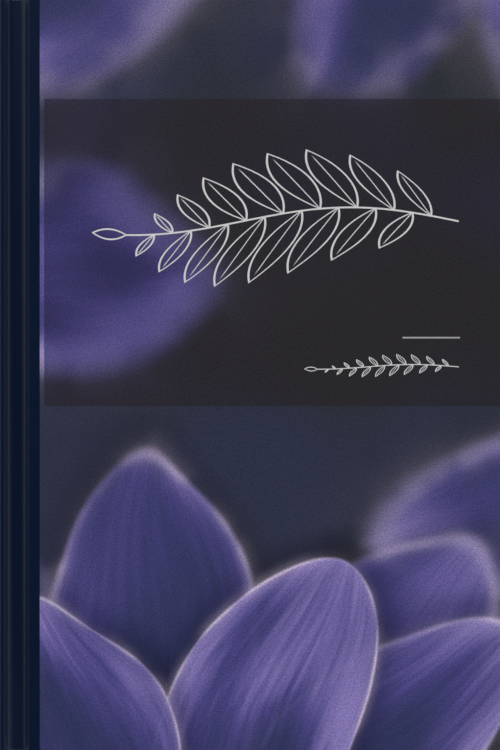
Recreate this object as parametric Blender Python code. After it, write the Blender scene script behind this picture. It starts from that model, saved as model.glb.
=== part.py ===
"""A slim case-bound book, closed and lying on its back cover.

Blender 4.5, metres, +Z up. The origin is the middle of the case's lowest face. +X runs from the
spine to the fore-edge, +Y from the tail to the head, and +Z from the back cover to the front one.
The book is alike on both sides of its middle, so what lies near a cover is placed by its depth
below that cover's outer face.
"""

import math

import bmesh
import bpy

MM = 0.001
SIDES = ("front", "back")

# Driving sizes of the case: the two boards, the spine and the grooves between them.
CASE_WIDTH = 160 * MM
CASE_HEIGHT = 240 * MM
CASE_THICKNESS = 14 * MM
BOARD = 2.4 * MM
SPINE_BOARD = 2.0 * MM
JOINT_WIDTH = 7.2 * MM
SQUARE = 3 * MM

# Sheets. A leaf's solid is thicker than one sheet of paper, so it stands for the few next to it.
LEAF = 0.5 * MM
CLEARANCE = 0.3 * MM
LOOSE_LEAVES = 2
GUTTER = 6 * MM

# Rounding where the covering paper turns over an edge.
BOARD_EDGE = 0.4 * MM
BOARD_CORNER = 0.9 * MM
SPINE_EDGE = 0.9 * MM
ROUNDING_STEPS = 4

# The pressed groove of each joint, and the beads at the ends of the spine.
JOINT_PAPER = 0.5 * MM
GROOVE_RISE = 1.5 * MM
GROOVE_POINTS = 17
HEADBAND_RADIUS = 0.7 * MM
HEADBAND_SIDES = 20

# Places that follow from the sizes.
SPINE_OUT = -CASE_WIDTH / 2
SPINE_IN = SPINE_OUT + SPINE_BOARD
BOARD_IN = SPINE_IN + JOINT_WIDTH
FORE_EDGE = CASE_WIDTH / 2
HEAD = CASE_HEIGHT / 2
PAGE_HEAD = HEAD - SQUARE
PAGE_FORE = FORE_EDGE - SQUARE
LINING_OUT = SPINE_IN + CLEARANCE
BLOCK_SPINE = LINING_OUT + LEAF + CLEARANCE
GUTTER_IN = BLOCK_SPINE + GUTTER
LEAF_SPINE = GUTTER_IN + CLEARANCE
LEAF_PITCH = LEAF + CLEARANCE
PAGE_DEPTH = BOARD + CLEARANCE
BLOCK_DEPTH = PAGE_DEPTH + (LOOSE_LEAVES + 1) * LEAF_PITCH

# Each cover swings about a line in its groove. The line lies just far enough in for the opened
# board to clear the outside of the spine by OPEN_GAP, and high enough for the joint's paper to
# fold back over the top of the spine.
OPEN_GAP = 0.9 * MM
HINGE_X = (BOARD_IN + SPINE_OUT - OPEN_GAP) / 2
HINGE_DEPTH = BOARD / 3


def clear_scene():
    """Remove every object, so that the file can be run again."""
    for obj in list(bpy.data.objects):
        bpy.data.objects.remove(obj)


def level(side, depth):
    """The height of what lies at a depth below the outer face of the front or the back cover."""
    return CASE_THICKNESS - depth if side == "front" else depth


def material(name, colour, roughness):
    """A plain Principled material of one colour."""
    made = bpy.data.materials.new(name)
    made.use_nodes = True
    shader = made.node_tree.nodes["Principled BSDF"]
    shader.inputs["Base Color"].default_value = (*colour, 1)
    shader.inputs["Roughness"].default_value = roughness
    return made


def hinge_line(name, x, z):
    """An empty on a line that something turns about. Every such line runs along Y."""
    empty = bpy.data.objects.new(name, None)
    empty.location = (x, 0, z)
    bpy.context.scene.collection.objects.link(empty)
    return empty


def finished_object(name, builder, finish, hinge=None):
    """Make an object of a mesh built in place. A piece that moves hangs on its hinge line."""
    if hinge:
        bmesh.ops.translate(builder, verts=builder.verts, vec=-hinge.location)
    mesh = bpy.data.meshes.new(name)
    builder.to_mesh(mesh)
    builder.free()
    mesh.materials.append(finish)
    made = bpy.data.objects.new(name, mesh)
    made.parent = hinge
    bpy.context.scene.collection.objects.link(made)
    return made


def smooth(obj, sharp_degrees):
    """Shade an object smooth, apart from its sharper edges."""
    obj.data.shade_smooth()
    obj.data.set_sharp_from_angle(angle=math.radians(sharp_degrees))


def slab(side, x_range, half_height, depth_range):
    """A flat box between two places along X and two depths, the same to the head and the tail."""
    levels = sorted(level(side, depth) for depth in depth_range)
    corners = ((x_range[0], -half_height, levels[0]), (x_range[1], half_height, levels[1]))
    builder = bmesh.new()
    bmesh.ops.create_cube(builder, size=1)
    size = [high - low for low, high in zip(*corners)]
    middle = [(high + low) / 2 for low, high in zip(*corners)]
    bmesh.ops.scale(builder, verts=builder.verts, vec=size)
    bmesh.ops.translate(builder, verts=builder.verts, vec=middle)
    return builder


def extruded(outline, half_height):
    """A closed outline of (x, z) points drawn out along Y."""
    builder = bmesh.new()
    ring = [builder.verts.new((x, -half_height, z)) for x, z in outline]
    end_face = builder.faces.new(ring)
    made = bmesh.ops.extrude_face_region(builder, geom=[end_face], use_keep_orig=True)
    moved = [element for element in made["geom"] if isinstance(element, bmesh.types.BMVert)]
    bmesh.ops.translate(builder, verts=moved, vec=(0, 2 * half_height, 0))
    bmesh.ops.recalc_face_normals(builder, faces=builder.faces)
    return builder


def arc(centre, radius, start_degrees, end_degrees):
    """Points along an arc in the XZ plane, both ends included."""
    points = []
    for step in range(ROUNDING_STEPS + 1):
        degrees = start_degrees + (end_degrees - start_degrees) * step / ROUNDING_STEPS
        angle = math.radians(degrees)
        points.append((centre[0] + radius * math.cos(angle), centre[1] + radius * math.sin(angle)))
    return points


def round_edges(obj, width):
    """Soften the sharp edges of an object."""
    bevel = obj.modifiers.new("rounded_edges", "BEVEL")
    bevel.width = width
    bevel.segments = 2
    bevel.limit_method = "ANGLE"
    bevel.angle_limit = math.radians(60)
    smooth(obj, 50)


def board(side, hinge, finish):
    """A cover board in its covering paper, with a shallow bed inside for the pastedown."""
    builder = slab(side, (BOARD_IN, FORE_EDGE), HEAD, (0, BOARD))
    corners = [
        edge
        for edge in builder.edges
        if edge.verts[0].co.x > 0 and edge.verts[0].co.xy == edge.verts[1].co.xy
    ]
    bmesh.ops.bevel(
        builder, geom=corners, offset=BOARD_CORNER, segments=ROUNDING_STEPS, profile=0.5,
        affect="EDGES", material=-1,
    )
    made = finished_object(side + "_board", builder, finish, hinge)
    round_edges(made, BOARD_EDGE)

    bed = slab(side, (BOARD_IN - GUTTER, PAGE_FORE), PAGE_HEAD, (BOARD - LEAF_PITCH, 2 * BOARD))
    cutter = finished_object(side + "_bed", bed, finish, hinge)
    cutter.hide_render = True
    cutter.display_type = "WIRE"
    cut = made.modifiers.new("pastedown_bed", "BOOLEAN")
    cut.operation = "DIFFERENCE"
    cut.object = cutter


def pastedown(side, hinge, finish):
    """The half of the endpaper that lines a board, level with the margin round it."""
    reach = (BOARD_IN, PAGE_FORE - CLEARANCE)
    builder = slab(side, reach, PAGE_HEAD - CLEARANCE, (BOARD - LEAF, BOARD))
    finished_object(side + "_pastedown", builder, finish, hinge)


def spine(finish):
    """The stiff strip of the spine. Its two outer edges are rounded by the covering paper."""
    round_x = SPINE_OUT + SPINE_EDGE
    top_arc = arc((round_x, CASE_THICKNESS - SPINE_EDGE), SPINE_EDGE, 90, 180)
    bottom_arc = arc((round_x, SPINE_EDGE), SPINE_EDGE, 180, 270)
    outline = [(SPINE_IN, 0), (SPINE_IN, CASE_THICKNESS), *top_arc, *bottom_arc]
    made = finished_object("spine_board", extruded(outline, HEAD), finish)
    round_edges(made, BOARD_EDGE / 2)


def joint(side, finish):
    """The flexible paper of one joint, at rest in its groove between spine and board."""
    start = SPINE_IN + CLEARANCE + JOINT_PAPER / 2
    end = BOARD_IN - CLEARANCE - JOINT_PAPER / 2
    deepest = BOARD - JOINT_PAPER / 2
    outer = []
    inner = []
    for step in range(GROOVE_POINTS):
        across = 2 * step / (GROOVE_POINTS - 1) - 1
        x = start + (end - start) * (across + 1) / 2
        depth = deepest - GROOVE_RISE * across**4
        slope = -4 * GROOVE_RISE * across**3 / ((end - start) / 2)
        half = JOINT_PAPER / 2 / math.hypot(1, slope)
        outer.append((x + slope * half, level(side, depth - half)))
        inner.append((x - slope * half, level(side, depth + half)))
    made = finished_object(side + "_joint", extruded(outer + inner[::-1], HEAD), finish)
    smooth(made, 40)


def leaf(name, side, depth, finish):
    """A loose leaf next to a cover. It turns about its own edge at the gutter."""
    hinge = hinge_line(name + "_axis", LEAF_SPINE + LEAF / 2, level(side, depth + LEAF / 2))
    builder = slab(side, (LEAF_SPINE, PAGE_FORE), PAGE_HEAD, (depth, depth + LEAF))
    finished_object(name, builder, finish, hinge)


def leaves(side, endpaper, page):
    """The flyleaf and the loose leaves under it, with the glued strip that they grow from."""
    leaf(side + "_flyleaf", side, PAGE_DEPTH, endpaper)
    for number in range(1, LOOSE_LEAVES + 1):
        leaf(f"{side}_leaf_{number}", side, PAGE_DEPTH + number * LEAF_PITCH, page)
    gutter = (BLOCK_SPINE, GUTTER_IN)
    roots = slab(side, gutter, PAGE_HEAD, (PAGE_DEPTH, BLOCK_DEPTH - CLEARANCE))
    finished_object(side + "_leaf_roots", roots, page)


def headband(name, end, finish):
    """The bead that stands on the leaves at one end of the spine, end being 1 or -1."""
    builder = bmesh.new()
    bmesh.ops.create_cone(
        builder, cap_ends=True, segments=HEADBAND_SIDES, radius1=HEADBAND_RADIUS,
        radius2=HEADBAND_RADIUS, depth=CASE_THICKNESS - 2 * PAGE_DEPTH,
    )
    reach = end * (PAGE_HEAD + CLEARANCE + HEADBAND_RADIUS)
    middle = (BLOCK_SPINE + HEADBAND_RADIUS, reach, CASE_THICKNESS / 2)
    bmesh.ops.translate(builder, verts=builder.verts, vec=middle)
    made = finished_object(name, builder, finish)
    smooth(made, 40)


def build():
    """Make the whole book."""
    clear_scene()
    navy = material("spine_laminate", (0.001, 0.007, 0.024), 0.45)
    print_laminate = material("cover_laminate", (0.035, 0.038, 0.075), 0.42)
    endpaper = material("endpaper", (0.84, 0.82, 0.76), 0.85)
    page = material("page_paper", (0.82, 0.79, 0.71), 0.9)
    lining = material("spine_lining", (0.5, 0.42, 0.31), 0.9)
    thread = material("headband_thread", (0.3, 0.27, 0.5), 0.8)

    for side in SIDES:
        hinge = hinge_line(side + "_cover_axis", HINGE_X, level(side, HINGE_DEPTH))
        board(side, hinge, print_laminate)
        pastedown(side, hinge, endpaper)
        joint(side, navy)
        leaves(side, endpaper, page)

    spine(navy)
    middle_leaves = (BLOCK_DEPTH, CASE_THICKNESS - BLOCK_DEPTH)
    block = slab("front", (BLOCK_SPINE, PAGE_FORE), PAGE_HEAD, middle_leaves)
    finished_object("text_block", block, page)
    all_leaves = (PAGE_DEPTH, CASE_THICKNESS - PAGE_DEPTH)
    glue_line = slab("front", (LINING_OUT, LINING_OUT + LEAF), PAGE_HEAD, all_leaves)
    finished_object("spine_lining", glue_line, lining)
    headband("headband_head", 1, thread)
    headband("headband_tail", -1, thread)


build()
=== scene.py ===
"""The looks of a slim case-bound book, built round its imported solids.

The book lies closed on its back cover. +X runs from the spine to the fore-edge, +Y from the tail
to the head, and +Z from the back cover to the front one. What lies near a cover is placed by its
depth below that cover's outer face, so each piece is written once and made for both sides.
"""

import math
import random

import bmesh
import bpy
from mathutils import Color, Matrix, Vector


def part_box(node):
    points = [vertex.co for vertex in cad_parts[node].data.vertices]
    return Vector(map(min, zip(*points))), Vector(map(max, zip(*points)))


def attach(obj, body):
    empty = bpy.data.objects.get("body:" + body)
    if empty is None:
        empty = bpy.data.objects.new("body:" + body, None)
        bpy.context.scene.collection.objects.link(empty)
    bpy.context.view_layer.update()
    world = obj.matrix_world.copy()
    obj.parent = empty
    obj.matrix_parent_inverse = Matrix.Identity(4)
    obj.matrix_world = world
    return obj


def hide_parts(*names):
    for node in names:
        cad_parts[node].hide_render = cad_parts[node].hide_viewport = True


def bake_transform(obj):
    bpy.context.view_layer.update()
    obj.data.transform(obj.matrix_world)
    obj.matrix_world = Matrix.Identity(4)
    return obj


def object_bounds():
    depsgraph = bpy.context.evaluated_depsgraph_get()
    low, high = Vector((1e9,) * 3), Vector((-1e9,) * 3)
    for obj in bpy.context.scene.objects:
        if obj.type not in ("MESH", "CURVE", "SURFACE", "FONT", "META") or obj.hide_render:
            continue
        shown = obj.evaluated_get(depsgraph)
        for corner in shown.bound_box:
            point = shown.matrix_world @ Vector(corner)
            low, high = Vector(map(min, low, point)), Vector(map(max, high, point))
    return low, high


bl_info = {
    "name": "Case-bound Book",
    "version": (1, 0, 0),
    "blender": (4, 5, 0),
    "location": "View3D > Sidebar > Book",
    "description": "Dresses the solids of a hardback book in its print, paper and thread",
    "category": "Object",
}

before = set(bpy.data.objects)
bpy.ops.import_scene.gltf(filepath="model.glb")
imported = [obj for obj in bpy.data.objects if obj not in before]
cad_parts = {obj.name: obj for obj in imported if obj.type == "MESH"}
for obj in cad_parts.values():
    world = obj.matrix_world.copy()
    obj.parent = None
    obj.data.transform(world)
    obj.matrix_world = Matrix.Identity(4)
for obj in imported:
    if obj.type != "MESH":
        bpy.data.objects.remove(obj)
CAD_LOW, CAD_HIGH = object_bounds()

MM = 0.001
# Places closer together than this count as one.
NEAR = 0.01 * MM
SIDES = ("front", "back")

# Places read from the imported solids.
SPINE_LOW, SPINE_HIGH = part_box("spine_board")
BOARD_LOW, BOARD_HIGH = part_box("front_board")
BLOCK_LOW, BLOCK_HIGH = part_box("text_block")
LINING_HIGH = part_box("spine_lining")[1]
ROOTS_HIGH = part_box("front_leaf_roots")[1]
LEAF_NODES = ("flyleaf", "leaf_1", "leaf_2")
THICKNESS = CAD_HIGH.z
BOARD_DEPTH = THICKNESS - BOARD_LOW.z
PAGE_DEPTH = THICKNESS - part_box("front_flyleaf")[1].z
LEAF_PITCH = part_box("front_flyleaf")[1].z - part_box("front_leaf_1")[1].z

# The layer of each cover's mesh that says where a point was on the flat print. On that print these
# are the spine's side, the head and a place past the fore-edge, in millimetres.
PRINT_LAYER = "Print"
PRINT_SPINE = CAD_LOW.x / MM
PRINT_HEAD = CAD_HIGH.y / MM
PRINT_FAR = 2 * CAD_HIGH.x / MM


def level(side, depth):
    """The height of what lies at a depth below the outer face of the front or the back cover."""
    return THICKNESS - depth if side == "front" else depth


def screen_colour(red, green, blue):
    """A colour given as it looks on a screen, from 0 to 255, as the linear one that nodes use."""
    linear = []
    for value in (red, green, blue):
        share = value / 255
        linear.append(share / 12.92 if share <= 0.04045 else ((share + 0.055) / 1.055) ** 2.4)
    return tuple(linear)


def colour_property(name, description, red, green, blue):
    """A colour setting."""
    return bpy.props.FloatVectorProperty(
        name=name, description=description, subtype="COLOR", size=3, min=0, max=1,
        default=screen_colour(red, green, blue),
    )


def length_property(name, description, default):
    """A length setting in metres."""
    return bpy.props.FloatProperty(
        name=name, description=description, default=default, subtype="DISTANCE", unit="LENGTH",
        precision=5,
    )


class BindingSettings(bpy.types.PropertyGroup):
    """Sizes of the case, its covering and its endpapers."""

    covering: length_property("Covering", "Thickness of covering and lining in a joint", 0.3 * MM)
    edge_round: length_property("Edge rounding", "Round of a board's covered edges", 0.5 * MM)
    corner_round: length_property("Corner rounding", "Round of a board's outer corners", 0.9 * MM)
    spine_round: length_property("Spine rounding", "Round of the spine's outer edges", 0.9 * MM)
    seam: length_property("Seam", "How far the endpaper's fold runs on over the board", 1.0 * MM)
    groove: length_property("Groove", "Depth of the pressed groove of a joint", 1.95 * MM)
    groove_wall: bpy.props.FloatProperty(
        name="Groove wall", description="Slope of the groove's walls",
        default=math.radians(48), subtype="ANGLE",
    )
    turn_in: length_property("Turn-in", "Width of the covering folded over inside", 15 * MM)
    pastedown: length_property("Pastedown", "Thickness of the endpaper", 0.15 * MM)
    ridge: length_property("Ridge", "Height of a turn-in under the pastedown", 0.12 * MM)
    bend_out: length_property("Bend start", "Where a joint starts to bend, before its hinge", 1.5 * MM)
    bend_in: length_property("Bend end", "Where a joint ends its bend, past its hinge", 2.5 * MM)


class PrintSettings(bpy.types.PropertyGroup):
    """Sizes and colours of the printed design."""

    strip: length_property("Strip", "Width of the plain strip along the spine", 13.0 * MM)
    panel_left: length_property("Panel left", "From the spine to the panel", 14.4 * MM)
    panel_top: length_property("Panel top", "From the head to the panel", 32.0 * MM)
    panel_bottom: length_property("Panel bottom", "From the head to the panel's foot", 129.9 * MM)
    rule_left: length_property("Rule left", "From the spine to the short rule", 128.6 * MM)
    rule_right: length_property("Rule right", "From the spine to the end of the rule", 146.9 * MM)
    rule_down: length_property("Rule down", "From the head to the short rule", 108.1 * MM)
    rule_weight: length_property("Rule weight", "Thickness of the short rule", 0.5 * MM)
    sprig_foot: length_property("Sprig foot", "From the spine to the drawn sprig's foot", 146.5 * MM)
    sprig_down: length_property("Sprig down", "From the head to the sprig's foot", 71 * MM)
    sprig_length: length_property("Sprig length", "Length of the sprig's stem", 106 * MM)
    sprig_leaf: length_property("Sprig leaf", "Length of the sprig's longest leaf", 26 * MM)
    line: length_property("Line", "Thickness of the sprig's lines", 0.5 * MM)
    small_down: length_property("Small sprig down", "From the head to the small sprig", 117.4 * MM)
    small_length: length_property("Small sprig length", "Length of the small sprig", 45 * MM)
    small_leaf: length_property("Small sprig leaf", "Length of its longest leaf", 4.4 * MM)
    small_line: length_property("Small sprig line", "Thickness of its lines", 0.26 * MM)
    spine_sprig: length_property("Spine sprig", "Length of the spine's slim sprig", 70 * MM)
    spine_leaf: length_property("Spine leaf", "Length of the slim sprig's longest leaf", 7 * MM)
    spine_line: length_property("Spine line", "Thickness of the slim sprig's lines", 0.32 * MM)
    grain: bpy.props.FloatProperty(
        name="Grain", description="Contrast of the print's film grain", default=1.4, min=0,
    )
    navy: colour_property("Navy", "The plain strip and the spine", 2, 20, 48)
    slate: colour_property("Slate", "The darkest part of the design", 48, 52, 61)
    shade: colour_property("Shade", "What a near petal's shadow leaves of a colour", 120, 120, 150)
    indigo: colour_property("Indigo", "The picture's dim background light", 54, 58, 102)
    violet: colour_property("Violet", "The body of a petal", 84, 78, 148)
    lilac: colour_property("Lilac", "The lit part of a petal", 156, 140, 208)
    crest: colour_property("Crest", "The bright edge of a petal", 222, 206, 234)
    panel: colour_property("Panel", "The dark panel, without what shows through it", 36, 31, 17)
    glass: colour_property("Glass", "What the panel lets through of each colour", 140, 146, 184)
    ink: colour_property("Ink", "The sprig", 224, 222, 224)
    rule: colour_property("Rule", "The short rule", 176, 174, 176)


class PaperSettings(bpy.types.PropertyGroup):
    """Sizes and colours of the pages, endpapers and headbands."""

    sheet: length_property("Sheet", "Thickness of one sheet of a page", 0.092 * MM)
    pitch: length_property("Pitch", "From one sheet to the next", 0.104 * MM)
    trim: length_property("Trim", "How far a sheet's edge strays from the cut", 0.07 * MM)
    thread: length_property("Thread", "Width of one wound thread of a headband", 0.48 * MM)
    page: colour_property("Page", "The pages", 232, 228, 214)
    endpaper: colour_property("Endpaper", "The endpapers", 238, 235, 226)
    pale_thread: colour_property("Pale thread", "The headband's lighter thread", 226, 222, 214)
    dark_thread: colour_property("Dark thread", "The headband's darker thread", 52, 50, 104)
    lining: colour_property("Lining", "The paper and gauze on the pages' spine", 172, 150, 116)


class StageSettings(bpy.types.PropertyGroup):
    """The camera, the lights and the floor."""

    trim: length_property("Trim", "How much of each side of the cover the picture cuts off", 0.5 * MM)
    camera_height: length_property("Camera height", "From the cover to the camera", 1.3)
    light: bpy.props.FloatProperty(
        name="Light", description="Strength of all the lights", default=1.0, min=0,
    )
    floor: colour_property("Floor", "The floor", 226, 224, 220)
    lit_floor: length_property("Lit floor", "How far the lights reach over the floor", 2.0)
    light_distance: length_property("Light distance", "From the book to each light", 3.4)


class Field:
    """A number that varies over a surface, with ordinary arithmetic. Each step adds a node."""

    def __init__(self, tree, socket):
        self.tree = tree
        self.socket = socket

    def math(self, operation, *others):
        """The result of a Math node on this value and others."""
        node = self.tree.nodes.new("ShaderNodeMath")
        node.operation = operation
        for entry, value in zip(node.inputs, (self, *others)):
            feed(self.tree, entry, value)
        return Field(self.tree, node.outputs["Value"])

    def __add__(self, other):
        return self.math("ADD", other)

    def __sub__(self, other):
        return self.math("SUBTRACT", other)

    def __mul__(self, other):
        return self.math("MULTIPLY", other)

    def __truediv__(self, other):
        return self.math("DIVIDE", other)

    def wave(self, length, start=0.0):
        """A sine from -1 to 1 that repeats over a length. start is the share of a turn to begin at."""
        return (self * (math.tau / length) + start * math.tau).math("SINE")

    def bell(self, width):
        """1 where this is 0, falling away smoothly on both sides over a width."""
        return (self / width).math("POWER", 2).math("MULTIPLY", -1).math("EXPONENT")

    def fade(self, reach):
        """1 where this is 0 or less, dying away over a reach."""
        return self.math("MAXIMUM", 0).math("MULTIPLY", -1 / reach).math("EXPONENT")

    def rise(self, low, high):
        """0 up to low, 1 from high, and smooth between them."""
        node = self.tree.nodes.new("ShaderNodeMapRange")
        node.interpolation_type = "SMOOTHSTEP"
        feed(self.tree, node.inputs["Value"], self)
        node.inputs["From Min"].default_value = low
        node.inputs["From Max"].default_value = high
        return Field(self.tree, node.outputs["Result"])

    def clamped(self):
        """This value, kept between 0 and 1."""
        return self.math("MAXIMUM", 0).math("MINIMUM", 1)


def feed(tree, entry, value):
    """Give a node's input a field, a socket, a colour or a number."""
    if isinstance(value, Field):
        tree.links.new(value.socket, entry)
    elif isinstance(value, bpy.types.NodeSocket):
        tree.links.new(value, entry)
    elif isinstance(value, (tuple, Color)):
        entry.default_value = (*value, 1)
    else:
        entry.default_value = value


def axis_fields(tree, place, axes):
    """The parts of a place along some axes, in millimetres."""
    parts = tree.nodes.new("ShaderNodeSeparateXYZ")
    tree.links.new(place, parts.inputs["Vector"])
    return [Field(tree, parts.outputs[axis]) * (1 / MM) for axis in axes]


def place_fields(tree):
    """The place on the object along X, Y and Z."""
    coordinates = tree.nodes.new("ShaderNodeTexCoord")
    return axis_fields(tree, coordinates.outputs["Object"], "XYZ")


def print_fields(tree):
    """The place on a cover's flat print, across from the spine and up to the head."""
    flat = tree.nodes.new("ShaderNodeUVMap")
    flat.uv_map = PRINT_LAYER
    return axis_fields(tree, flat.outputs["UV"], "XY")


def noise(tree, size, detail, x, y, z=0.0):
    """Soft noise about 0.5, with features of about a size, in the units of x, y and z."""
    joined = tree.nodes.new("ShaderNodeCombineXYZ")
    for entry, value in zip(joined.inputs, (x, y, z)):
        feed(tree, entry, value)
    node = tree.nodes.new("ShaderNodeTexNoise")
    node.inputs["Scale"].default_value = 1 / size
    node.inputs["Detail"].default_value = detail
    tree.links.new(joined.outputs["Vector"], node.inputs["Vector"])
    return Field(tree, node.outputs["Fac"])


def mixed(tree, share, under, over, blend="MIX"):
    """Two colours mixed. share 0 gives the first and 1 the second."""
    node = tree.nodes.new("ShaderNodeMix")
    node.data_type = "RGBA"
    node.blend_type = blend
    feed(tree, node.inputs[0], share)
    feed(tree, node.inputs[6], under)
    feed(tree, node.inputs[7], over)
    return node.outputs[2]


def shaded(tree, colour, value):
    """A colour made darker or lighter by a field about 1."""
    node = tree.nodes.new("ShaderNodeCombineColor")
    for entry in node.inputs:
        feed(tree, entry, value)
    return mixed(tree, 1.0, colour, node.outputs["Color"], "MULTIPLY")


def blank_material(name):
    """A material with only its Principled shader, and its node tree."""
    made = bpy.data.materials.new(name)
    made.use_nodes = True
    return made, made.node_tree, made.node_tree.nodes["Principled BSDF"]


def roughen(tree, shader, height, size):
    """Raise a field as bumps. size is the height in metres between 0 and 1."""
    node = tree.nodes.new("ShaderNodeBump")
    node.inputs["Distance"].default_value = size
    feed(tree, node.inputs["Height"], height)
    tree.links.new(node.outputs["Normal"], shader.inputs["Normal"])


def laminate(tree, shader, colour, x, y, z):
    """The satin film over the print: faint waves of the board, fine scuffs and uneven gloss."""
    board = noise(tree, 1.6, 2, x, y, z)
    fibre = noise(tree, 0.35, 2, x, y, z)
    scuffs = noise(tree, 1.0, 3, x * 0.12, y * 2.4, z)
    patches = noise(tree, 34, 2, x, y, z)
    gloss = patches * 0.06 + scuffs.rise(0.55, 0.8) * 0.04 + 0.38
    feed(tree, shader.inputs["Base Color"], colour)
    feed(tree, shader.inputs["Roughness"], gloss)
    shader.inputs["Specular IOR Level"].default_value = 0.24
    roughen(tree, shader, board * 0.6 + fibre * 0.4, 0.006 * MM)


def rubbed(tree, colour, x, y, z):
    """A print's colour with its film rubbed a little at the case's outer corners."""
    reach = 1.6
    soft = 1.8
    across = (x.math("ABSOLUTE") - (CAD_HIGH.x / MM - reach)).rise(0, soft)
    along = (y.math("ABSOLUTE") - (CAD_HIGH.y / MM - reach)).rise(0, soft)
    spots = noise(tree, 0.8, 4, x, y, z).rise(0.45, 0.7)
    return mixed(tree, across * along * spots * 0.5, colour, screen_colour(110, 108, 118))


def navy_laminate():
    """The plain dark print of the joints."""
    style = bpy.context.scene.book_print
    made, tree, shader = blank_material("navy_laminate")
    laminate(tree, shader, style.navy, *place_fields(tree))
    return made


class Petal:
    """One petal of the printed picture. Lengths are in millimetres, and the angle in degrees."""

    def __init__(self, x, y, angle, length, half_width, bend, softness, light, opacity):
        self.x = x
        self.y = y
        self.angle = angle
        self.length = length
        self.half_width = half_width
        self.bend = bend
        self.softness = softness
        self.light = light
        self.opacity = opacity


# The picture's petals, from the furthest and softest to the nearest. The order of the numbers is
# the x and y of the root, the angle from the root to the tip, the length, the half width, how far
# the tip bends aside, the softness of the edge, the light and the opacity.
PETALS = (
    Petal(12, 188, 221, 150, 29, -8, 13, 0.95, 0.85),
    Petal(74, 172, 240, 104, 27, 6, 11, 0.62, 0.8),
    Petal(104, 160, 262, 88, 26, -5, 9, 0.74, 0.85),
    Petal(-124, 30, 4, 116, 33, 8, 13, 1.15, 0.95),
    Petal(132, -30, 200, 104, 26, 8, 9, 0.8, 0.85),
    Petal(-46, -176, 112, 158, 33, -10, 6, 0.6, 0.88),
    Petal(-22, -178, 56, 172, 34, 10, 3.5, 0.66, 0.88),
    Petal(-34, -172, 88, 158, 36, -4, 2.4, 0.7, 0.88),
    Petal(-18, -170, 37, 142, 32, -10, 1.2, 0.85, 0.9),
    Petal(-26, -176, 68, 136, 33, 7, 0.5, 1.0, 0.92),
    Petal(-40, -174, 106, 116, 31, -6, 0.4, 0.78, 0.92),
)


def paint_petal(tree, colour, petal, style, x, y, uneven, seed):
    """Lay one petal over a colour: an uneven bright edge, light gathered inside it, and ribs."""
    turn = math.radians(petal.angle)
    right = x - petal.x
    up = y - petal.y
    reach = petal.length / 2
    half = petal.half_width
    # share is 0 at the root and 1 at the tip, and middle is how far aside of the bent midrib.
    share = right * (math.cos(turn) / petal.length) + up * (math.sin(turn) / petal.length)
    middle = up * math.cos(turn) - right * math.sin(turn) + share * share * petal.bend
    # The outline is two arcs from root to tip, and edge is how far inside it a point is.
    past = (share - 0.5) * petal.length
    arc = (reach * reach + half * half) / (2 * half)
    blunt = 0.3 * half
    aside = (middle * middle + blunt * blunt).math("SQRT") + (arc - half)
    edge = (past * past + aside * aside).math("SQRT") * -1 + arc
    soft = petal.softness
    crisp = 1 / (1 + soft / 3)
    shape = edge.rise(-soft / 2, soft / 2)
    # The ribs and folds fan out with the petal's width.
    spread = middle / ((past * past) * (-half / reach ** 2) + 1.15 * half)
    ribs = noise(tree, 0.07, 2, spread, share * 0.3, seed)
    folds = noise(tree, 0.55, 0, spread, share * 1.3, seed + 5)
    gather = edge.fade(half * 0.45)
    lit = gather * 0.62 + share.rise(0.35, 1) * 0.2 + folds * 1.35 - 0.58
    lit = ((lit + (ribs - 0.5) * (0.8 * crisp)) * petal.light).clamped()
    body = mixed(tree, lit.rise(0, 0.62), style.indigo, style.violet)
    body = mixed(tree, lit.rise(0.38, 1.05) * 0.95, body, style.lilac)
    # What is behind is shaded first, then covered, and the bright edge goes on last.
    shadow = edge.rise(-soft - 11, soft * 0.3) * (0.62 * crisp)
    colour = mixed(tree, shadow, colour, style.shade, "MULTIPLY")
    colour = mixed(tree, shape * petal.opacity, colour, body)
    rim = (edge - soft * 0.2).bell(0.22 + soft * 0.45) + edge.bell(1.4 + soft) * 0.24
    rim = rim * share.rise(0.02, 0.4) * uneven * (0.8 * petal.light * crisp)
    return mixed(tree, rim.clamped(), colour, style.crest)


def paint_design(tree, style, x, y):
    """The printed picture: petals in violet light over slate."""
    warp = 16
    warp_x = x + (noise(tree, 48, 0, x, y, 1) - 0.5) * warp
    warp_y = y + (noise(tree, 44, 0, x, y, 2) - 0.5) * warp
    haze = noise(tree, 75, 1, x, y, 3).rise(0.42, 0.7)
    left = (x * -1).rise(-10, 80)
    colour = mixed(tree, (haze * 0.38 + left * 0.34).clamped(), style.slate, style.indigo)
    uneven = noise(tree, 18, 1, x, y, 13).rise(0.36, 0.62) * 0.8 + 0.2
    for number, petal in enumerate(PETALS, 1):
        colour = paint_petal(tree, colour, petal, style, warp_x, warp_y, uneven, 10.0 * number)
    return colour


def inside(value, low, high):
    """1 where a field is between two places, with edges as crisp as print."""
    crisp = 0.06
    return value.rise(low - crisp, low + crisp) * (value * -1).rise(-high - crisp, -high + crisp)


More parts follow.
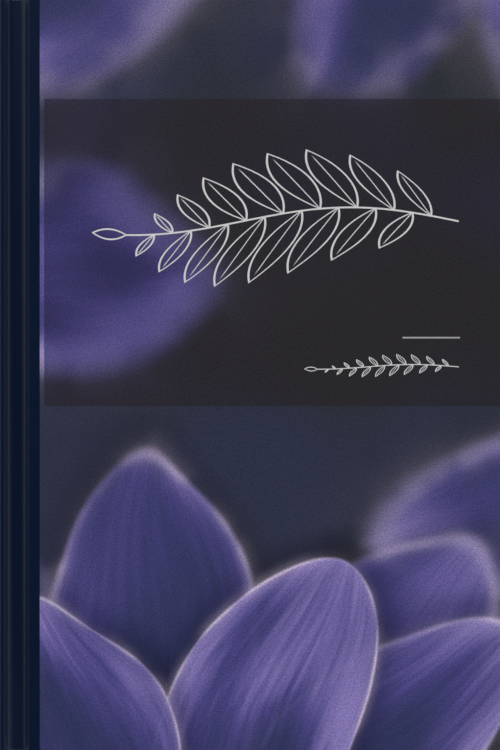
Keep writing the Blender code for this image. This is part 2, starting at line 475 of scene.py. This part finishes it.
def sprig(along, beside, length, leaf, pairs, weight):
    """1 on the thin lines of a sprig. along runs up its stem from its foot, and beside across it."""
    slope = math.radians(50)
    pitch = length / pairs
    sway = leaf * 0.17
    fullness = 0.62
    beside = beside - (along / length).wave(1.3) * sway
    height = beside.math("ABSOLUTE")
    # Leaves grow on both sides by turns. root is where one through this point leaves the stem.
    root = along - height * (1 / math.tan(slope)) + beside.math("SIGN") * (pitch / 4)
    number = (root / pitch).math("ROUND")
    aside = ((root - number * pitch) * math.sin(slope)).math("ABSOLUTE")
    # reach is that leaf's length, share how far along it a point is, and half its half width there.
    reach = (number / pairs).wave(2.3, 0.06).math("MAXIMUM", 0.01) * leaf
    share = height / math.sin(slope) / reach
    half = (share * -1 + 1) * share * reach * fullness
    outline = inside(half - aside, -weight / 2, weight / 2)
    vein = inside(aside, -weight, weight * 0.3) * inside(share, 0, 0.86)
    leaves = outline.math("MAXIMUM", vein) * inside(number, 0.5, pairs - 0.8)
    tip = (along - length) / (pitch * -0.9) + 1
    last = inside((tip * -1 + 1) * tip * (pitch * 0.55) - height, -weight / 2, weight / 2)
    stalk = inside(height, -weight, weight * 0.55) * inside(along, 0, length)
    return leaves.math("MAXIMUM", last).math("MAXIMUM", stalk)


def lay_panel(tree, colour, style, across, up):
    """The dark see-through panel over a colour."""
    top = PRINT_HEAD - style.panel_top / MM
    bottom = PRINT_HEAD - style.panel_bottom / MM
    panel_x = inside(across, PRINT_SPINE + style.panel_left / MM, PRINT_FAR)
    panel_y = inside(up, bottom, top)
    seen = mixed(tree, 1.0, colour, style.glass, "MULTIPLY")
    panel = mixed(tree, 1.0, seen, style.panel, "ADD")
    return mixed(tree, panel_x * panel_y, colour, panel)


def lay_grain(tree, colour, style, across, up):
    """A colour with the film grain of its picture."""
    grain = (noise(tree, 0.45, 1, across, up, 4) - 0.5) * style.grain + 1
    return shaded(tree, colour, grain.math("MAXIMUM", 0))


def lay_drawings(tree, colour, style, across, up):
    """The two sprigs and the short rule over a colour."""
    from_foot = across * -1 + (PRINT_SPINE + style.sprig_foot / MM)
    sprigs = (
        (style.sprig_down, style.sprig_length, style.sprig_leaf, 9, style.line),
        (style.small_down, style.small_length, style.small_leaf, 10, style.small_line),
    )
    for down, length, leaf, pairs, weight in sprigs:
        beside = up - (PRINT_HEAD - down / MM)
        drawn = sprig(from_foot, beside, length / MM, leaf / MM, pairs, weight / MM)
        colour = mixed(tree, drawn, colour, style.ink)
    left = PRINT_SPINE + style.rule_left / MM
    right = PRINT_SPINE + style.rule_right / MM
    middle = PRINT_HEAD - style.rule_down / MM
    half = style.rule_weight / MM / 2
    rule = inside(across, left, right) * inside(up, middle - half, middle + half)
    return mixed(tree, rule, colour, style.rule)


def cover_print(side):
    """The printed laminate of one cover: picture, panel, drawings on the front, and plain strip."""
    style = bpy.context.scene.book_print
    made, tree, shader = blank_material(side + "_cover_print")
    x, y, z = place_fields(tree)
    across, up = print_fields(tree)
    drawn_across = across if side == "front" else across * -1
    colour = paint_design(tree, style, drawn_across, up)
    colour = lay_panel(tree, colour, style, across, up)
    colour = lay_grain(tree, colour, style, across, up)
    if side == "front":
        colour = lay_drawings(tree, colour, style, across, up)
    strip = inside(across, -PRINT_FAR, PRINT_SPINE + style.strip / MM)
    colour = mixed(tree, strip, colour, style.navy)
    laminate(tree, shader, rubbed(tree, colour, x, y, z), x, y, z)
    return made


def spine_print():
    """The dark print of the spine, with a slim sprig."""
    style = bpy.context.scene.book_print
    made, tree, shader = blank_material("spine_print")
    x, y, z = place_fields(tree)
    length = style.spine_sprig / MM
    leaf = style.spine_leaf / MM
    weight = style.spine_line / MM
    face_depth = 0.2
    beside = z - THICKNESS / MM / 2
    drawn = sprig(y + length / 2, beside, length, leaf, 14, weight)
    on_face = inside(x, 2 * CAD_LOW.x / MM, CAD_LOW.x / MM + face_depth)
    colour = mixed(tree, drawn * on_face, style.navy, style.ink)
    laminate(tree, shader, colour, x, y, z)
    return made


def paper(name, colour, fibre_size, layers=0.0):
    """Uncoated paper: matt, with cloudy fibres. layers is how much stacked sheets differ."""
    made, tree, shader = blank_material(name)
    x, y, z = place_fields(tree)
    cloud = noise(tree, 9, 3, x, y, z)
    fibre = noise(tree, fibre_size, 3, x, y, z)
    shade = cloud * 0.03 + fibre * 0.05 + 0.94
    if layers:
        shade = shade + (noise(tree, 0.14, 1, z, 0.0) - 0.5) * layers
    feed(tree, shader.inputs["Base Color"], shaded(tree, colour, shade))
    feed(tree, shader.inputs["Roughness"], fibre * 0.08 + 0.84)
    shader.inputs["Specular IOR Level"].default_value = 0.2
    roughen(tree, shader, fibre, 0.012 * MM)
    return made


def thread_material():
    """Glossy thread in two colours, wound in groups."""
    style = bpy.context.scene.book_paper
    made, tree, shader = blank_material("headband_thread")
    x, y, z = place_fields(tree)
    pair = 2 * style.thread / MM
    band = (z + x * 0.25).wave(2 * pair).rise(-0.05, 0.05)
    strand = noise(tree, 0.09, 2, x * 0.4, y * 0.4, z * 2)
    colour = mixed(tree, band, style.pale_thread, style.dark_thread)
    feed(tree, shader.inputs["Base Color"], shaded(tree, colour, strand * 0.5 + 0.75))
    feed(tree, shader.inputs["Roughness"], strand * 0.2 + 0.42)
    shader.inputs["Sheen Weight"].default_value = 0.3
    roughen(tree, shader, strand, 0.02 * MM)
    return made


def lining_material():
    """Brown paper with an open gauze glued into it."""
    style = bpy.context.scene.book_paper
    made, tree, shader = blank_material("gauze_and_paper")
    x, y, z = place_fields(tree)
    mesh_size = 1.1
    lines = y.wave(mesh_size).rise(0.6, 0.9).math("MAXIMUM", z.wave(mesh_size).rise(0.6, 0.9))
    fibre = noise(tree, 0.6, 3, x, y, z)
    colour = mixed(tree, lines * 0.5, style.lining, screen_colour(222, 214, 196))
    feed(tree, shader.inputs["Base Color"], shaded(tree, colour, fibre * 0.3 + 0.82))
    feed(tree, shader.inputs["Roughness"], fibre * 0.1 + 0.82)
    roughen(tree, shader, lines + fibre * 0.4, 0.08 * MM)
    return made


def floor_material():
    """A plain pale studio floor, which stays pale beyond the lights' reach."""
    style = bpy.context.scene.book_stage
    made, tree, shader = blank_material("studio_floor")
    x, y, z = place_fields(tree)
    mottle = noise(tree, 240, 3, x, y, z)
    colour = shaded(tree, style.floor, mottle * 0.04 + 0.98)
    unlit = 2.6 * style.lit_floor / MM
    far = (x * x + y * y).math("SQRT").rise(style.lit_floor / MM, unlit)
    feed(tree, shader.inputs["Base Color"], colour)
    feed(tree, shader.inputs["Emission Color"], colour)
    feed(tree, shader.inputs["Emission Strength"], far * 0.66)
    feed(tree, shader.inputs["Roughness"], mottle * 0.1 + 0.6)
    roughen(tree, shader, noise(tree, 3, 2, x, y, z), 0.05 * MM)
    return made


def add_box(builder, low, high):
    """Add a box between two corners, and return its vertices."""
    made = bmesh.ops.create_cube(builder, size=1)["verts"]
    size = Vector(high) - Vector(low)
    bmesh.ops.scale(builder, verts=made, vec=size)
    bmesh.ops.translate(builder, verts=made, vec=(Vector(high) + Vector(low)) / 2)
    return made


def side_box(builder, side, x_range, y_range, depth_range):
    """Add a box between two depths below a cover's outer face."""
    low_z, high_z = sorted(level(side, depth) for depth in depth_range)
    return add_box(builder, (x_range[0], y_range[0], low_z), (x_range[1], y_range[1], high_z))


def edges_where(builder, test):
    """The edges whose two ends both pass a test of their place."""
    return [edge for edge in builder.edges if all(test(vert.co) for vert in edge.verts)]


def round_off(builder, edges, radius, segments):
    """Round some edges."""
    return bmesh.ops.bevel(
        builder, geom=edges, offset=radius, segments=segments, profile=0.5, affect="EDGES",
        material=-1, clamp_overlap=True,
    )


def sharp_edges(builder, degrees):
    """The edges that bend by more than an angle."""
    limit = math.radians(degrees)
    return [
        edge for edge in builder.edges
        if len(edge.link_faces) == 2 and edge.calc_face_angle() > limit
    ]


def cut_across(builder, places):
    """Cut a mesh into lengths at places along X."""
    for place in places:
        geometry = builder.verts[:] + builder.edges[:] + builder.faces[:]
        bmesh.ops.bisect_plane(
            builder, geom=geometry, dist=1e-8, plane_co=(place, 0, 0), plane_no=(1, 0, 0)
        )


def finished(name, builder, finish, nodes=(), sharp=35):
    """Make the object of a mesh that was built in place."""
    mesh = bpy.data.meshes.new(name)
    builder.to_mesh(mesh)
    builder.free()
    mesh.materials.append(finish)
    mesh.shade_smooth()
    mesh.set_sharp_from_angle(angle=math.radians(sharp))
    made = bpy.data.objects.new(name, mesh)
    bpy.context.scene.collection.objects.link(made)
    if nodes:
        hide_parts(*nodes)
    return made


def bend_at_joint(piece):
    """Bake into its mesh the place of a piece that lies between the book and a cover, round the
    cover's hinge.
    """
    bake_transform(piece)


def bake_map(piece, side):
    """Give a cover's outer face most of the picture that its finish is baked to."""
    wide = 0.62
    gap = 0.02
    rim = 0.005
    layer = piece.data.uv_layers.new(name="OFBake")
    outward = 1 if side == "front" else -1
    size = CAD_HIGH - CAD_LOW
    for face in piece.data.polygons:
        outer = face.normal.z * outward > -0.2
        for loop in face.loop_indices:
            place = piece.data.vertices[piece.data.loops[loop].vertex_index].co
            across = (place.x - CAD_LOW.x) / size.x
            along = (place.y - CAD_LOW.y) / size.y
            low, high = (rim, wide) if outer else (wide + gap, 1 - rim)
            layer.data[loop].uv = (low + (high - low) * across, rim + (1 - 2 * rim) * along)


def print_map(piece, side):
    """Where each point of the covering was on the flat print, which runs on round the edges."""
    near_edge = 1.0 * MM
    round_x = BOARD_HIGH.x - near_edge
    round_y = BOARD_HIGH.y - near_edge
    outward = 1 if side == "front" else -1
    layer = piece.data.uv_layers.new(name=PRINT_LAYER)
    for face in piece.data.polygons:
        for loop in face.loop_indices:
            place = piece.data.vertices[piece.data.loops[loop].vertex_index].co
            depth = abs(level(side, 0) - place.z)
            if face.normal.z * outward < -0.5:
                depth = 0
            across = depth if place.x > round_x else 0
            up = math.copysign(depth, place.y) if abs(place.y) > round_y else 0
            layer.data[loop].uv = (place.x + across, place.y + up)


def corner_folds(builder, side):
    """The mitred folds of covering at a board's two outer corners, inside."""
    style = bpy.context.scene.book_binding
    depth = BOARD_DEPTH - style.pastedown
    reach = style.turn_in * 0.6
    inset = style.edge_round
    for end in (1, -1):
        made = side_box(
            builder, side,
            (BOARD_HIGH.x - reach, BOARD_HIGH.x - inset),
            sorted((end * (BOARD_HIGH.y - inset), end * (BOARD_HIGH.y - reach))),
            (depth, depth + style.pastedown / 2),
        )
        for vert in made:
            near_edge = BOARD_HIGH.x - vert.co.x < reach / 2
            near_head = BOARD_HIGH.y - abs(vert.co.y) < reach / 2
            if not near_edge and not near_head:
                vert.co.x = BOARD_HIGH.x - inset - reach * 0.02
            if not near_edge and near_head:
                vert.co.y = end * (BOARD_HIGH.y - inset)


def make_cover(side):
    """A board in its printed covering, from the joint to the fore-edge."""
    style = bpy.context.scene.book_binding
    inner_depth = BOARD_DEPTH - style.pastedown
    builder = bmesh.new()
    side_box(
        builder, side, (BOARD_LOW.x, BOARD_HIGH.x), (BOARD_LOW.y, BOARD_HIGH.y), (0, inner_depth)
    )
    upright = [
        edge for edge in edges_where(builder, lambda place: place.x > 0)
        if (edge.verts[0].co.xy - edge.verts[1].co.xy).length < NEAR
    ]
    round_off(builder, upright, style.corner_round, 6)
    round_off(builder, sharp_edges(builder, 60), style.edge_round, 6)
    corner_folds(builder, side)
    made = finished(
        side + "_cover", builder, cover_print(side), [side + "_board"]
    )
    print_map(made, side)
    bake_map(made, side)
    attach(made, side + "_cover")


def make_pastedown(side, finish):
    """The endpaper's half inside a cover. The turn-ins' edges show through it as a low ridge."""
    style = bpy.context.scene.book_binding
    seam_x = BOARD_LOW.x + style.seam
    slope_width = 0.45 * MM
    slope_round = 0.16 * MM
    facing = -1 if side == "front" else 1
    beyond = seam_x - style.turn_in * 2
    square = BOARD_HIGH.y - BLOCK_HIGH.y
    builder = bmesh.new()
    corners = [
        builder.verts.new((x, y, level(side, BOARD_DEPTH)))
        for x, y in (
            (beyond, BLOCK_LOW.y), (BLOCK_HIGH.x, BLOCK_LOW.y),
            (BLOCK_HIGH.x, BLOCK_HIGH.y), (beyond, BLOCK_HIGH.y),
        )
    ]
    sheet = builder.faces.new(corners)
    sheet.normal_update()
    for width in (style.turn_in - square, slope_width):
        bmesh.ops.inset_region(
            builder, faces=[sheet], thickness=width, depth=0, use_even_offset=True,
            use_boundary=True,
        )
    bmesh.ops.translate(builder, verts=sheet.verts, vec=(0, 0, -facing * style.ridge))
    slope = [edge for edge in builder.edges if 0.01 < edge.calc_face_angle(0) < 1]
    round_off(builder, slope, slope_round, 3)
    geometry = builder.verts[:] + builder.edges[:] + builder.faces[:]
    bmesh.ops.bisect_plane(
        builder, geom=geometry, dist=1e-8, plane_co=(seam_x, 0, 0), plane_no=(-1, 0, 0),
        clear_outer=True,
    )
    wall = bmesh.ops.extrude_face_region(builder, geom=builder.faces[:], use_keep_orig=True)
    backs = [element for element in wall["geom"] if isinstance(element, bmesh.types.BMVert)]
    for vert in backs:
        vert.co.z = level(side, BOARD_DEPTH - style.pastedown)
    bmesh.ops.recalc_face_normals(builder, faces=builder.faces)
    node = side + "_pastedown"
    made = finished(node + "_sheet", builder, finish, [node])
    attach(made, side + "_cover")


def ribbon(side, outline, rounds, thickness, half_height, flats=4):
    """A long strip of an outline of (x, depth) points, its bends rounded, and given a thickness.

    Its flat parts are cut into short ones, so that they can bend.
    """
    flat_length = 0.9 * MM
    builder = bmesh.new()
    chain = [builder.verts.new((x, -half_height, level(side, depth))) for x, depth in outline]
    edges = [builder.edges.new(pair) for pair in zip(chain, chain[1:])]
    made = bmesh.ops.extrude_edge_only(builder, edges=edges)["geom"]
    moved = [element for element in made if isinstance(element, bmesh.types.BMVert)]
    bmesh.ops.translate(builder, verts=moved, vec=(0, 2 * half_height, 0))
    for (x, depth), radius in zip(outline[1:-1], rounds):
        corner = Vector((x, level(side, depth)))
        along = edges_where(
            builder, lambda place: (Vector((place.x, place.z)) - corner).length < NEAR
        )
        round_off(builder, along, radius, 6)
    wide = [
        edge for edge in builder.edges
        if abs(edge.verts[0].co.y - edge.verts[1].co.y) < NEAR
        and edge.calc_length() > flat_length
    ]
    bmesh.ops.subdivide_edges(builder, edges=wide, cuts=flats, use_grid_fill=True)
    bmesh.ops.recalc_face_normals(builder, faces=builder.faces)
    upward = sum(face.normal.z * face.calc_area() for face in builder.faces)
    if (upward > 0) != (side == "front"):
        bmesh.ops.reverse_faces(builder, faces=builder.faces)
    bmesh.ops.solidify(builder, geom=builder.faces[:], thickness=thickness)
    return builder


def on_round(edge_x, way):
    """Where a groove's wall leaves the rounded edge of a board, going along X by 1 or -1."""
    style = bpy.context.scene.book_binding
    radius = style.edge_round
    sink = 0.02 * MM
    across = radius * (1 - math.sin(style.groove_wall)) + sink
    return edge_x - way * across, radius * (1 - math.cos(style.groove_wall)) + sink


def make_joint_covering(side, finish):
    """The covering of one joint, pressed into its groove between the spine and the board."""
    style = bpy.context.scene.book_binding
    start = on_round(SPINE_HIGH.x, 1)
    end = on_round(BOARD_LOW.x, -1)
    wall = (style.groove - start[1]) / math.tan(style.groove_wall)
    foot_round = 1.1 * MM
    outline = (
        start,
        (start[0] + wall, style.groove),
        (end[0] - wall, style.groove),
        end,
    )
    half_height = BOARD_HIGH.y - style.covering * 0.7
    builder = ribbon(side, outline, (foot_round, foot_round), style.covering, half_height)
    ends = [
        edge for edge in edges_where(builder, lambda place: abs(place.y) > half_height - NEAR)
        if edge.calc_length() < half_height and edge.calc_face_angle(0) > math.radians(60)
    ]
    round_off(builder, ends, style.covering * 0.4, 3)
    made = finished(
        side + "_joint_covering", builder, finish, [side + "_joint"], sharp=50
    )
    bend_at_joint(made)


def make_endpaper_joint(side, finish):
    """The endpaper's fold, from the pages' spine across the joint to the pastedown."""
    style = bpy.context.scene.book_binding
    thickness = style.pastedown * 0.8
    glued_depth = PAGE_DEPTH - 0.04 * MM
    lift_depth = PAGE_DEPTH - 0.06 * MM
    lift_x = ROOTS_HIGH.x - 2.5 * MM
    board_depth = BOARD_DEPTH - style.ridge - NEAR
    board_x = BOARD_LOW.x + 0.2 * MM
    overlap = 0.5 * MM
    outline = (
        (BLOCK_LOW.x, glued_depth),
        (lift_x, lift_depth),
        (board_x, board_depth),
        (BOARD_LOW.x + style.seam + overlap, board_depth),
    )
    rounds = (1.2 * MM, 0.5 * MM)
    builder = ribbon(side, outline, rounds, thickness, BLOCK_HIGH.y, flats=14)
    made = finished(side + "_endpaper_joint", builder, finish, sharp=50)
    bend_at_joint(made)


def make_spine(finish):
    """The spine's stiff strip in its covering, which is turned in over its ends."""
    style = bpy.context.scene.book_binding
    builder = bmesh.new()
    add_box(builder, (SPINE_LOW.x, BOARD_LOW.y, 0), (SPINE_HIGH.x, BOARD_HIGH.y, THICKNESS))
    outer = [
        edge for edge in edges_where(builder, lambda place: place.x < SPINE_HIGH.x - MM)
        if abs(edge.verts[0].co.y - edge.verts[1].co.y) > MM
    ]
    round_off(builder, outer, style.spine_round, 8)
    round_off(builder, sharp_edges(builder, 60), style.edge_round, 6)
    made = finished("spine", builder, finish, ["spine_board"])
    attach(made, "book")


def add_sheet(builder, draw, x_low, bottom, top, thickness):
    """Add one sheet. Its three cut edges stray a little, as a guillotine leaves them."""
    style = bpy.context.scene.book_paper
    stray = [draw.uniform(0, style.trim) for _ in range(3)]
    low = (x_low, BLOCK_LOW.y + stray[0], bottom)
    high = (BLOCK_HIGH.x - stray[1], BLOCK_HIGH.y - stray[2], bottom + thickness)
    if high[2] <= top:
        add_box(builder, low, high)


def add_sheets(builder, draw, x_low, bottom, top):
    """Stack sheets between two heights."""
    style = bpy.context.scene.book_paper
    count = int((top - bottom) / style.pitch)
    pitch = (top - bottom) / count
    for number in range(count):
        add_sheet(builder, draw, x_low, bottom + number * pitch, top, style.sheet)


def bend_places():
    """Where a leaf is cut across so that it can curve near its root."""
    count = 26
    first = ROOTS_HIGH.x - 1.5 * MM
    reach = 27 * MM
    return [first + reach * number / count for number in range(count)]


def bend_leaf(piece):
    """Bake a leaf's place into its mesh."""
    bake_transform(piece)


def make_flyleaf(side, finish):
    """The endpaper's free half, the first sheet inside a cover."""
    style = bpy.context.scene.book_binding
    depths = (PAGE_DEPTH, PAGE_DEPTH + style.pastedown)
    builder = bmesh.new()
    side_box(builder, side, (BLOCK_LOW.x, BLOCK_HIGH.x), (BLOCK_LOW.y, BLOCK_HIGH.y), depths)
    cut_across(builder, bend_places())
    node = side + "_flyleaf"
    made = finished(node + "_sheet", builder, finish, [node])
    bend_leaf(made)


def make_leaves(side, draw, page):
    """The loose leaves beside one cover, each a stack of real sheets.

    The first stack lies under the flyleaf. It stands for the glued roots.
    """
    style = bpy.context.scene.book_binding
    gap = 0.02 * MM
    for number, leaf in enumerate(LEAF_NODES):
        top_depth = PAGE_DEPTH + number * LEAF_PITCH
        node = side + "_" + leaf
        if leaf == "flyleaf":
            top_depth += style.pastedown + NEAR
            node = side + "_leaf_roots"
        bottom_depth = PAGE_DEPTH + (number + 1) * LEAF_PITCH - gap
        low, high = sorted(level(side, depth) for depth in (top_depth, bottom_depth))
        builder = bmesh.new()
        add_sheets(builder, draw, BLOCK_LOW.x, low, high)
        cut_across(builder, bend_places())
        made = finished(node + "_sheets", builder, page, [node])
        bend_leaf(made)


def make_block(draw, page):
    """The middle of the pages, sheet by sheet, which fills the gaps beside the loose leaves."""
    filled = 0.28 * MM
    builder = bmesh.new()
    add_sheets(builder, draw, BLOCK_LOW.x, BLOCK_LOW.z - filled, BLOCK_HIGH.z + filled)
    made = finished("page_block", builder, page, ["text_block"])
    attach(made, "book")


def make_headband(node, finish):
    """A bead of wound thread on the ends of the pages, with its tape glued down behind them."""
    style = bpy.context.scene.book_paper
    low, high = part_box(node)
    middle = (low + high) / 2
    radius = (high.x - low.x) / 2
    length = high.z - low.z
    turns = round(length / style.thread)
    steps = 6
    valley = 0.8
    tape_length = 9 * MM
    builder = bmesh.new()
    chain = [builder.verts.new((0, 0, 0))]
    for step in range(turns * steps + 1):
        swell = abs(math.sin(math.pi * step / steps))
        reach = radius * (valley + (1 - valley) * swell)
        chain.append(builder.verts.new((reach, 0, length * step / (turns * steps))))
    chain.append(builder.verts.new((0, 0, length)))
    edges = [builder.edges.new(pair) for pair in zip(chain, chain[1:])]
    bmesh.ops.spin(
        builder, geom=chain + edges, cent=(0, 0, 0), axis=(0, 0, 1), angle=math.tau, steps=24,
        use_merge=True,
    )
    bmesh.ops.remove_doubles(builder, verts=builder.verts, dist=1e-6)
    bmesh.ops.recalc_face_normals(builder, faces=builder.faces)
    bmesh.ops.translate(builder, verts=builder.verts, vec=(middle.x, middle.y, low.z))
    outward = math.copysign(1, middle.y)
    tape_x = (LINING_HIGH.x + 0.05 * MM, BLOCK_LOW.x - 0.03 * MM)
    tape_y = sorted((middle.y, middle.y - outward * tape_length))
    add_box(builder, (tape_x[0], tape_y[0], low.z), (tape_x[1], tape_y[1], high.z))
    made = finished(node + "_winding", builder, finish, [node])
    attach(made, "book")


def soft_light(name, way, width, height, power, colour):
    """A wide soft light that faces the book. width and height are shares of its distance."""
    distance = bpy.context.scene.book_stage.light_distance
    data = bpy.data.lights.new(name, "AREA")
    data.shape = "RECTANGLE"
    data.size = width * distance
    data.size_y = height * distance
    data.energy = power
    data.color = colour
    lamp = bpy.data.objects.new(name, data)
    lamp.location = Vector(way).normalized() * distance
    lamp.rotation_euler = Vector(way).to_track_quat("Z", "Y").to_euler()
    bpy.context.scene.collection.objects.link(lamp)


def make_lights():
    """Two wide lights past the head and the tail, and two weaker ones at the sides."""
    light = bpy.context.scene.book_stage.light
    warm = (1.0, 0.985, 0.96)
    cool = (0.97, 0.985, 1.0)
    soft_light("head_light", (-0.24, 0.81, 0.55), 1.23, 0.43, 88 * light, warm)
    soft_light("tail_light", (0.24, -0.81, 0.55), 1.23, 0.43, 67 * light, cool)
    soft_light("spine_light", (-0.92, 0.1, 0.39), 1.1, 0.37, 29 * light, warm)
    soft_light("fore_edge_light", (0.92, -0.1, 0.39), 1.1, 0.37, 29 * light, cool)


def make_floor():
    """A wide floor just under the back cover."""
    half_size = 8
    builder = bmesh.new()
    bmesh.ops.create_grid(builder, x_segments=2, y_segments=2, size=half_size)
    mesh = bpy.data.meshes.new("floor")
    builder.to_mesh(mesh)
    builder.free()
    mesh.materials.append(floor_material())
    floor = bpy.data.objects.new("floor", mesh)
    floor.location.z = -0.05 * MM
    bpy.context.scene.collection.objects.link(floor)


def make_world():
    """Dim surroundings: pale round the horizon and nearly black overhead."""
    world = bpy.data.worlds.new("studio")
    bpy.context.scene.world = world
    world.use_nodes = True
    tree = world.node_tree
    coordinates = tree.nodes.new("ShaderNodeTexCoord")
    parts = tree.nodes.new("ShaderNodeSeparateXYZ")
    tree.links.new(coordinates.outputs["Generated"], parts.inputs["Vector"])
    haze = Field(tree, parts.outputs["Z"]).rise(0.0, 0.14)
    height = Field(tree, parts.outputs["Z"]).rise(0.02, 0.55)
    sky = mixed(tree, height, screen_colour(146, 146, 150), screen_colour(10, 10, 12))
    sky = mixed(tree, haze, screen_colour(200, 199, 196), sky)
    feed(tree, tree.nodes["Background"].inputs["Color"], sky)


def make_camera():
    """A long lens straight above the front cover, which fills the picture."""
    style = bpy.context.scene.book_stage
    data = bpy.data.cameras.new("camera")
    height = CAD_HIGH.y - CAD_LOW.y - 2 * style.trim
    data.lens = data.sensor_width * style.camera_height / height
    data.clip_end = 100
    camera = bpy.data.objects.new("camera", data)
    camera.location = (0, 0, THICKNESS + style.camera_height)
    bpy.context.scene.collection.objects.link(camera)
    bpy.context.scene.camera = camera


class BOOK_OT_covers(bpy.types.Operator):
    """Make both boards in their printed covering"""

    bl_idname = "book.covers"
    bl_label = "Covers"

    def execute(self, context):
        for side in SIDES:
            make_cover(side)
        return {"FINISHED"}


class BOOK_OT_spine(bpy.types.Operator):
    """Make the spine and the covering of both joints"""

    bl_idname = "book.spine"
    bl_label = "Spine and Joints"

    def execute(self, context):
        make_spine(spine_print())
        finish = navy_laminate()
        for side in SIDES:
            make_joint_covering(side, finish)
        return {"FINISHED"}


class BOOK_OT_endpapers(bpy.types.Operator):
    """Make the pastedowns and the folds of the endpapers"""

    bl_idname = "book.endpapers"
    bl_label = "Endpapers"

    def execute(self, context):
        finish = paper("endpaper", context.scene.book_paper.endpaper, 0.5)
        for side in SIDES:
            make_pastedown(side, finish)
            make_endpaper_joint(side, finish)
        return {"FINISHED"}


class BOOK_OT_pages(bpy.types.Operator):
    """Make the pages, with the loose leaves beside each cover"""

    bl_idname = "book.pages"
    bl_label = "Pages"

    def execute(self, context):
        style = context.scene.book_paper
        draw = random.Random(11)
        page = paper("page_paper", style.page, 0.4)
        stacked = paper("stacked_paper", style.page, 0.4, layers=0.3)
        endpaper = bpy.data.materials["endpaper"]
        make_block(draw, stacked)
        for side in SIDES:
            make_flyleaf(side, endpaper)
            make_leaves(side, draw, page)
        return {"FINISHED"}


class BOOK_OT_headbands(bpy.types.Operator):
    """Make the headbands, and finish the lining between them"""

    bl_idname = "book.headbands"
    bl_label = "Headbands and Lining"

    def execute(self, context):
        finish = thread_material()
        for node in ("headband_head", "headband_tail"):
            make_headband(node, finish)
        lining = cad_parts["spine_lining"]
        lining.data.materials.clear()
        lining.data.materials.append(lining_material())
        return {"FINISHED"}


class BOOK_OT_stage(bpy.types.Operator):
    """Make the floor, the lights and the camera"""

    bl_idname = "book.stage"
    bl_label = "Stage"

    def execute(self, context):
        make_floor()
        make_lights()
        make_world()
        make_camera()
        context.scene.view_settings.view_transform = "Standard"
        return {"FINISHED"}


class BOOK_PT_panel(bpy.types.Panel):
    """The book's pieces and settings"""

    bl_idname = "BOOK_PT_panel"
    bl_label = "Case-bound Book"
    bl_space_type = "VIEW_3D"
    bl_region_type = "UI"
    bl_category = "Book"

    def draw(self, context):
        for group in SETTINGS:
            box = self.layout.box()
            for name in SETTINGS[group].__annotations__:
                box.prop(getattr(context.scene, group), name)
        for operator in OPERATORS:
            self.layout.operator(operator.bl_idname)


SETTINGS = {
    "book_binding": BindingSettings,
    "book_print": PrintSettings,
    "book_paper": PaperSettings,
    "book_stage": StageSettings,
}
OPERATORS = (
    BOOK_OT_covers,
    BOOK_OT_spine,
    BOOK_OT_endpapers,
    BOOK_OT_pages,
    BOOK_OT_headbands,
    BOOK_OT_stage,
)


def register():
    """Register the settings, the operators and the panel."""
    for group, kind in SETTINGS.items():
        bpy.utils.register_class(kind)
        setattr(bpy.types.Scene, group, bpy.props.PointerProperty(type=kind))
    for kind in (*OPERATORS, BOOK_PT_panel):
        bpy.utils.register_class(kind)


def unregister():
    """Take everything that register added away again."""
    for kind in (BOOK_PT_panel, *reversed(OPERATORS)):
        bpy.utils.unregister_class(kind)
    for group, kind in reversed(SETTINGS.items()):
        delattr(bpy.types.Scene, group)
        bpy.utils.unregister_class(kind)


def main():
    """Register the add-on and build the whole scene."""
    register()
    for operator in OPERATORS:
        group, name = operator.bl_idname.split(".")
        getattr(getattr(bpy.ops, group), name)()


if __name__ == "__main__":
    main()
